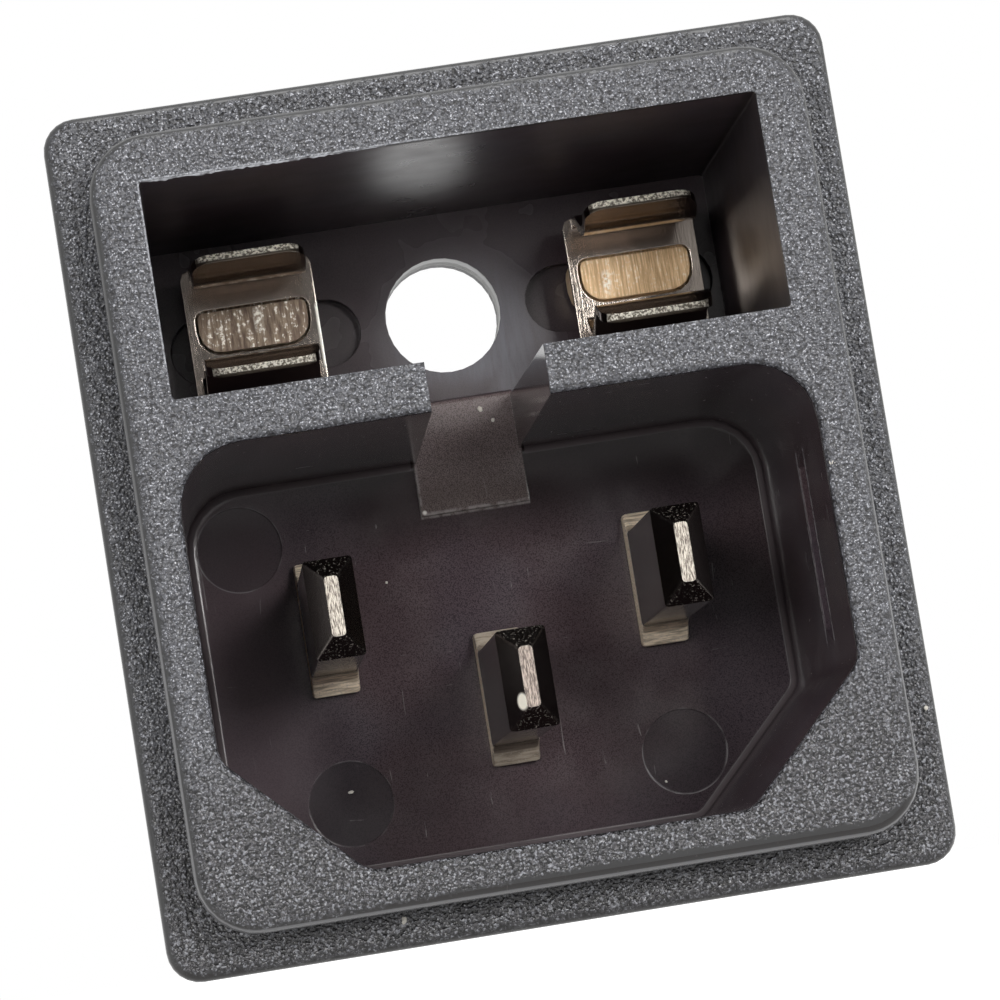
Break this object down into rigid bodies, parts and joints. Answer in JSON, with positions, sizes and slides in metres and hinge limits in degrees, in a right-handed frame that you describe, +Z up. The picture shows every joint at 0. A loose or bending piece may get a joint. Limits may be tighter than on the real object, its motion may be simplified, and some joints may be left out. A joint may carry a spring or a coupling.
{
  "type": "power entry module",
  "caption": "Snap-in panel inlet for a flat-pin appliance cord, with an open fuse compartment above the pins.",
  "frame": {"origin": "middle of the panel cut-out, in the plane of the flange's back face, where the panel lies", "axes": "+Z up towards the fuse compartment, -Y out of the panel towards the user, +X to the right seen from the front"},
  "size_m": [0.0312, 0.0283, 0.0342],
  "materials": {
    "black_plastic": "fine spark-eroded grain on the front flats, smooth inside",
    "nickel_plating": "nickel-plated brass",
    "brass": "cut and scratched brass"
  },
  "bodies": {
    "root": {"housing": "black_plastic", "line_pin": "nickel_plating", "neutral_pin": "nickel_plating", "earth_pin": "nickel_plating", "line_fuse_clip": "nickel_plating", "load_fuse_clip": "nickel_plating", "line_clip_stud": "brass", "load_clip_stud": "brass", "line_link": "nickel_plating", "neutral_tab": "nickel_plating", "earth_tab": "nickel_plating", "load_tab": "nickel_plating"}
  },
  "joints": []
}
